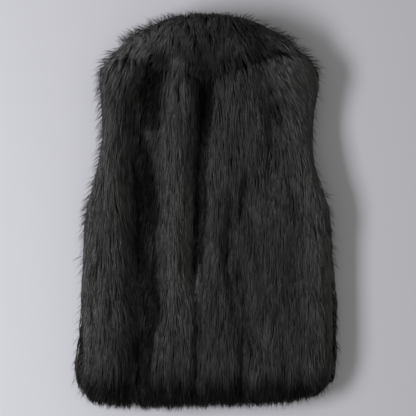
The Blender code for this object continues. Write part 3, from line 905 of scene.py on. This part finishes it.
def turned(directions, axes, angles):
    """Directions turned about axes that are square to them."""
    return directions * np.cos(angles)[:, None] + np.cross(axes, directions) * np.sin(angles)[:, None]


def on_disc(count, radius):
    """Random places on a disc, across and along."""
    angle, out = rng.uniform(0.0, math.tau, count), np.sqrt(rng.random(count)) * radius
    return np.cos(angle) * out, np.sin(angle) * out


settled, _ = settle(np.array([[0.1, 0.0, high_z + ABOVE_ALL]]), cling=1.0, allowance=0.0)
print("a point over the right panel settles to", settled[0].round(4))

# %% [markdown]
# ## Hairs of a lock
# Hairs stick together in thin bundles, and a few bundles make a lock. Each hair starts beside the
# lock's place. Its middle and its tip are found by stepping along the nap and falling back to the
# nearest surface, so the pile keeps the shape of the folds. One lock could be modelled and copied,
# but copies look alike, so each is worked out with its own chances. Bundles draw together a little
# towards their tips, more in a valley, where dark slits open between the locks. At the hem the
# hairs fall back less and reach out past it, furthest in the left half; a table gives how far, from
# one side to the other.

# %% Locks from the sown places
Pile = namedtuple("Pile", "length depth bundles hairs width spread bundle_spread gather stray lift")
LOCK_LENGTHS, BUNDLE_LENGTHS, HAIR_LENGTHS = (0.85, 1.15), (0.70, 1.05), (0.85, 1.05)
HAIR_WIDTHS = (0.7, 1.3)
PACKED_AT = 0.008  # in a valley this deep the hairs are packed, so much shorter and tighter:
PACKED_SHORTER, PACKED_TIGHTER = 0.3, 0.45
CLING, CLING_AT_HEM = 0.85, 0.30  # how much of its way off the surface a hair falls back
MOST_LIFT, BUNDLE_LIFT = 0.0035, 0.8
HEM_REACH = ((-0.26, 0.022), (-0.20, 0.025), (-0.12, 0.032), (-0.05, 0.026), (0.02, 0.019), (0.26, 0.013))
HEM_REACH_SHARES, LONGER_AT_HEM = (0.2, 1.0), 0.45
HEM_LOOSE_FROM, HEM_LOOSE_REACH = -0.325, 0.045
WILD_SHARE, WILD_LIFT = 0.015, 0.011
CREST = 0.0034  # how high a hair's middle is held, so that the hair lies level
ABOVE_SEAM = 0.001
BUNDLE_GATHER = 0.35
BUNDLE_STRAY, HAIR_STRAY = 0.022, 0.016
LOCK_TONES, BUNDLE_TONES, HAIR_TONES, LEAST_TONE = 0.16, 0.60, 0.42, 0.1


def locks(node, places, slopes, pile):
    """All the hairs of the locks rooted at places."""
    count = len(places)
    bundle = np.repeat(np.arange(count * pile.bundles), pile.hairs)
    lock = bundle // pile.bundles
    bundles, total = count * pile.bundles, len(bundle)

    packed = np.clip(valley(places) / PACKED_AT, 0.0, 1.0)
    lie = turned(nap(node, places, slopes), slopes, rng.normal(0.0, pile.stray, count))[lock]
    up = slopes[lock]
    sideways = np.cross(up, lie)
    stray = rng.normal(0.0, BUNDLE_STRAY, bundles)[bundle] + rng.normal(0.0, HAIR_STRAY, total)
    heading = turned(lie, up, stray)
    length = pile.length * (rng.uniform(*LOCK_LENGTHS, count) * (1.0 - PACKED_SHORTER * packed))[lock]
    length *= rng.uniform(*BUNDLE_LENGTHS, bundles)[bundle] * rng.uniform(*HAIR_LENGTHS, total)
    at_hem = np.clip((HEM_LOOSE_FROM - places[:, 1]) / HEM_LOOSE_REACH, 0.0, 1.0)[lock]
    length *= 1.0 + LONGER_AT_HEM * at_hem

    across, along = on_disc(bundles, pile.spread)
    bundle_shift = sideways * across[bundle][:, None] + lie * along[bundle][:, None]
    across, along = on_disc(total, pile.bundle_spread)
    hair_shift = sideways * across[:, None] + lie * along[:, None]
    start = places[lock] + bundle_shift + hair_shift
    gather = (pile.gather * (1.0 - PACKED_TIGHTER * packed))[lock][:, None]
    end = places[lock] + bundle_shift * gather + hair_shift * BUNDLE_GATHER + heading * length[:, None]

    cling = CLING + (CLING_AT_HEM - CLING) * at_hem
    hem_reach = np.interp(places[:, 0], *zip(*HEM_REACH))[lock] * rng.uniform(*HEM_REACH_SHARES, total)
    allowance = MOST_LIFT * rng.random(total) * (1.0 - at_hem) + hem_reach * at_hem
    allowance = np.where(rng.random(total) < WILD_SHARE, WILD_LIFT * rng.random(total), allowance)
    middle, middle_slopes = settle(start + heading * (0.5 * length)[:, None], cling, allowance)
    tip, tip_slopes = settle(end, cling, allowance)
    lift = rng.normal(0.0, pile.lift, count)[lock]
    lift = lift + rng.normal(0.0, pile.lift * BUNDLE_LIFT, bundles)[bundle]
    middle = middle + middle_slopes * (CREST + lift - trough(node, middle))[:, None]
    tip = tip + tip_slopes * (lift - trough(node, tip))[:, None]
    root = start - up * (pile.depth + trough(node, start))[:, None]
    if node == "back":
        root[:, 2] = np.maximum(root[:, 2], SEAM_LEVEL + ABOVE_SEAM)

    tone = 1.0 + LOCK_TONES * rng.uniform(-0.5, 0.5, count)[lock]
    tone += BUNDLE_TONES * rng.uniform(-0.5, 0.5, bundles)[bundle]
    tone += HAIR_TONES * rng.uniform(-0.5, 0.5, total)
    # The painted light and shade at each hair's tip is laid onto the hair's own tone.
    tone = np.sqrt(shade(tip) * np.maximum(tone, LEAST_TONE) / PALEST)
    width = pile.width * rng.uniform(*HAIR_WIDTHS, total)
    return Hairs(root=root, middle=middle, tip=tip, up=up, width=width, tone=tone)


print("hairs past the hem reach up to", max(reach for _, reach in HEM_REACH) * 1000, "mm")

# %% [markdown]
# ## Pieces of pile
# A coat's pile is one thing to the eye, but one mesh of it would be too heavy to handle. It is cut
# across from hem to collar into pieces of like size, where no seam shows between the hairs.

# %% Growing the pieces
MAX_HAIRS = 21000


def take(hairs, chosen):
    return Hairs(*(values[chosen] for values in hairs))


def joined(*groups):
    return Hairs(*(np.concatenate(values) for values in zip(*groups)))


def grow(name, hairs, material):
    """Makes as many pieces as the hairs need, cut across from hem to collar."""
    order = np.argsort(hairs.root[:, 1])
    parts = math.ceil(len(order) / MAX_HAIRS)
    made = []
    for number, chosen in enumerate(np.array_split(order, parts), start=1):
        label = f"{name}_{number}" if parts > 1 else name
        made.append(hairs_mesh(label, take(hairs, chosen), material))
    print(f"{name}: {len(order)} hairs, {len(order) * HAIR_TRIANGLES} triangles")
    return made


print("at most", MAX_HAIRS, "hairs in a piece")

# %% [markdown]
# ## Where wisps stand
# Along its edges the vest has a fringe of fine single hairs, thick on the left shoulder, on parts
# of the left side and at the hem, and thin on the right. An even fringe all round would look
# trimmed, so a table gives how thickly they stand from place to place.

# %% Fringes
Fringe = namedtuple("Fringe", "place x y reach_x reach_y share")
FRINGES = (
    Fringe("left shoulder", -0.205, 0.285, 0.050, 0.055, 1.00),
    Fringe("left end of the collar", -0.130, 0.340, 0.070, 0.045, 1.00),
    Fringe("top of the collar", -0.035, 0.385, 0.075, 0.025, 0.70),
    Fringe("left armhole", -0.212, 0.150, 0.030, 0.080, 0.50),
    Fringe("left side", -0.250, 0.005, 0.030, 0.032, 1.00),
    Fringe("left side, low", -0.255, -0.350, 0.040, 0.045, 0.80),
    Fringe("hem, left half", -0.140, -0.385, 0.110, 0.040, 1.00),
    Fringe("right shoulder", 0.170, 0.320, 0.060, 0.050, 0.30),
)
HEM_FRINGE_FROM, HEM_FRINGE_SHARE = -0.362, 0.60
PLAIN_SHARE = 0.03
EDGE_SLOPE = 0.72  # a place steeper than this is on the outline


def fringe_share(point):
    """How thickly the wisps stand at a point, from 0 to 1."""
    share = HEM_FRINGE_SHARE if point[1] < HEM_FRINGE_FROM else PLAIN_SHARE
    for fringe in FRINGES:
        away = ((point[0] - fringe.x) / fringe.reach_x) ** 2
        away += ((point[1] - fringe.y) / fringe.reach_y) ** 2
        share = max(share, fringe.share * math.exp(-away))
    return share


def on_outline(point, normal):
    return abs(normal[2]) < EDGE_SLOPE and rng.random() < fringe_share(point)


print("fringes", len(FRINGES))

# %% [markdown]
# ## Wisps
# The hairs of the fringe are finer than those of the locks and stick together at their roots. They
# start in tufts of three and stand out from the outline, half along the nap, first more outwards
# and then bending over, and their tips sink a little. They don't fall back to the surface as the
# locks do, because they are what stands free of it.

# %% Wisps from the sown places
Wisp = namedtuple("Wisp", "length width")
WISP = Wisp(length=0.030, width=0.00052)
IN_TUFT = 3
TUFT_STRAY, WISP_STRAY = 0.30, 0.10
TUFT_RISES, WISP_RISES, WISP_LENGTHS, WISP_TONES = (0.4, 1.3), (0.85, 1.15), (0.25, 1.15), (0.35, 1.0)
OUTWARDS, MIDDLE_OUTWARDS = 0.75, 1.3
UPWARDS = 0.3  # how much of the surface's slope upwards a wisp follows
DROOP = 0.10
WISP_DEPTH = 0.003


def wisps(node, places, slopes, wisp=WISP):
    """Tufts of fine hairs that stand out from the edges."""
    turn = np.repeat(rng.normal(0.0, TUFT_STRAY, len(places)), IN_TUFT)
    rise = np.repeat(rng.uniform(*TUFT_RISES, len(places)), IN_TUFT)
    places, slopes = np.repeat(places, IN_TUFT, axis=0), np.repeat(slopes, IN_TUFT, axis=0)
    count = len(places)
    along = turned(nap(node, places, slopes), slopes, turn + rng.normal(0.0, WISP_STRAY, count))
    outwards = OUTWARDS * (rise * rng.uniform(*WISP_RISES, count))[:, None]
    level = slopes.copy()
    level[:, 2] *= UPWARDS
    heading = unit(along + unit(level) * outwards)
    length = (wisp.length * rng.uniform(*WISP_LENGTHS, count))[:, None]
    middle = places + unit(along + unit(level) * outwards * MIDDLE_OUTWARDS) * length * 0.5
    tip = places + heading * length
    tip[:, 2] -= (DROOP * length)[:, 0]
    # Each wisp's tone takes the painted shade of its place, but none of its painted highlights.
    return Hairs(
        root=places - slopes * WISP_DEPTH, middle=middle, tip=tip, up=slopes,
        width=wisp.width * rng.uniform(*HAIR_WIDTHS, count),
        tone=np.sqrt(rng.uniform(*WISP_TONES, count) * np.minimum(shade(places), 1.0) / PALEST),
    )


print("wisps", WISP.length * 1000, "mm long, in tufts of", IN_TUFT)

# %% [markdown]
# ## Pile of the back
# Most of the pile that shows is the back's, and it is the longest. It grows on the whole of the
# upper side and a little way round the edge, but not where the fronts lie against it. Hairs whose
# tips end in deep painted shade, in a fold or a dark patch, go to a piece of their own with the
# shaded copy of the finish; a soft chance decides near the limit, so that no line shows between
# the two. The fringe comes last.

# %% Pile of the back
LOCK_SPACING, TUFT_SPACING = 0.0076, 0.0048
BACK_ROUND_TO = -0.35  # how far round the edge the pile goes: the least Z of a normal with pile
BACK_PILE = Pile(
    length=0.056, depth=0.0062, bundles=9, hairs=2, width=0.00084, spread=0.0070,
    bundle_spread=0.0009, gather=0.86, stray=0.032, lift=0.0006,
)
# Hairs in deep painted shade take the shaded copy of the finish:
SHADED_BELOW, FOLD_CHANCES = 0.55, (0.85, 1.15)  # pile with less than this shade gets the duller finish
places, slopes = sow("back", LOCK_SPACING, lambda point, normal: normal[2] > BACK_ROUND_TO)
hairs = locks("back", places, slopes, BACK_PILE)
in_painted_shade = shade(hairs.tip) * rng.uniform(*FOLD_CHANCES, len(hairs.tip)) < SHADED_BELOW
back_pile = grow("back_pile", take(hairs, ~in_painted_shade), STANDING_PILE)
back_pile += grow("back_shaded_pile", take(hairs, in_painted_shade), SHADED_PILE)
back_pile += grow("back_wisps", wisps("back", *sow("back", TUFT_SPACING, on_outline)), STANDING_PILE)

# %% [markdown]
# ## Pile of the collar
# The collar is cut from the same fur, but it is handled more and folded over, so its hairs look
# shorter and more ruffled. They grow nearly all round it, because its folded edge is seen from the
# side, and they are worked out as the back's are, with their own figures.

# %% Pile of the collar
COLLAR_ROUND_TO = -0.8
COLLAR_PILE = Pile(
    length=0.046, depth=0.0032, bundles=9, hairs=2, width=0.00084, spread=0.0068,
    bundle_spread=0.0010, gather=0.84, stray=0.09, lift=0.0005,
)
places, slopes = sow("collar", LOCK_SPACING, lambda point, normal: normal[2] > COLLAR_ROUND_TO)
collar_pile = grow("collar_pile", locks("collar", places, slopes, COLLAR_PILE), STANDING_PILE)
places, slopes = sow("collar", TUFT_SPACING, on_outline)
collar_pile += grow("collar_wisps", wisps("collar", places, slopes), STANDING_PILE)

# %% [markdown]
# ## Pile of the fronts
# The fronts lie under the vest, and only a strip of each shows past the back's side. Their pile is
# pressed flat, so it is short, wide and untidy. Their undersides rest on the surface, where a
# sparse pile is enough: nobody sees it from above, and the hairs are better spent on the back.

# %% Pile of the fronts
FRONT_ROUND_TO = -0.80
UNDERSIDE_SPACING, FRONT_TUFT_SPACING = 0.0230, 0.0075
FRONT_PILE = Pile(
    length=0.036, depth=0.0030, bundles=3, hairs=3, width=0.00110, spread=0.0060,
    bundle_spread=0.0016, gather=0.60, stray=0.14, lift=0.0005,
)
for node in ("front_left", "front_right"):
    places, slopes = sow(node, LOCK_SPACING, lambda point, normal: normal[2] > FRONT_ROUND_TO)
    sides = locks(node, places, slopes, FRONT_PILE)
    places, slopes = sow(node, UNDERSIDE_SPACING, lambda point, normal: normal[2] <= FRONT_ROUND_TO)
    underside = locks(node, places, slopes, FRONT_PILE)
    places, slopes = sow(node, FRONT_TUFT_SPACING, on_outline)
    fringe = wisps(node, places, slopes)
    grow(node + "_pile", joined(sides, underside, fringe), BOUNCE_LIT_PILE)

# %% [markdown]
# ## Hairs in the notch beside the collar
# Where the left shoulder meets the left end of the collar, the two leave a narrow notch, and on the
# real vest the pile of both closes it. A solid filler would show as a hard lump. So short, thick
# hairs of both fill it, sown very near each other and without the test for a free place, because a
# notch is just where that test leaves hairs out.

# %% Hairs in the notch
NOTCH, NOTCH_REACH = np.array([-0.158, 0.313, 0.046]), 0.012
NOTCH_WISP = Wisp(length=0.016, width=0.00110)
NOTCH_SPACING = 0.0020


def in_notch(point, normal):
    return ((point - NOTCH) ** 2).sum() < NOTCH_REACH**2


notch_hairs = [
    wisps(node, *sow(node, NOTCH_SPACING, in_notch, only_free=False), NOTCH_WISP)
    for node in ("back", "collar")
]
# The notch lies in shade, so its hairs take the shaded copy of the finish, which paints shade.
back_pile += grow("pile_in_notch", joined(*notch_hairs), SHADED_PILE)

# %% [markdown]
# ## Pieces of the back's pile
# The pieces of pile grown on the back are counted. On the real vest each cloth and the pile on
# it are one fabric.

print("cloths declared, the back's with", len(back_pile), "pieces of pile")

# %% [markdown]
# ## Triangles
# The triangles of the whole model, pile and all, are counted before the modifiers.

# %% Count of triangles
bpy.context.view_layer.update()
added = sum(len(polygon.vertices) - 2 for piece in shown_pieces() for polygon in piece.data.polygons)
print("triangles before modifiers", added)
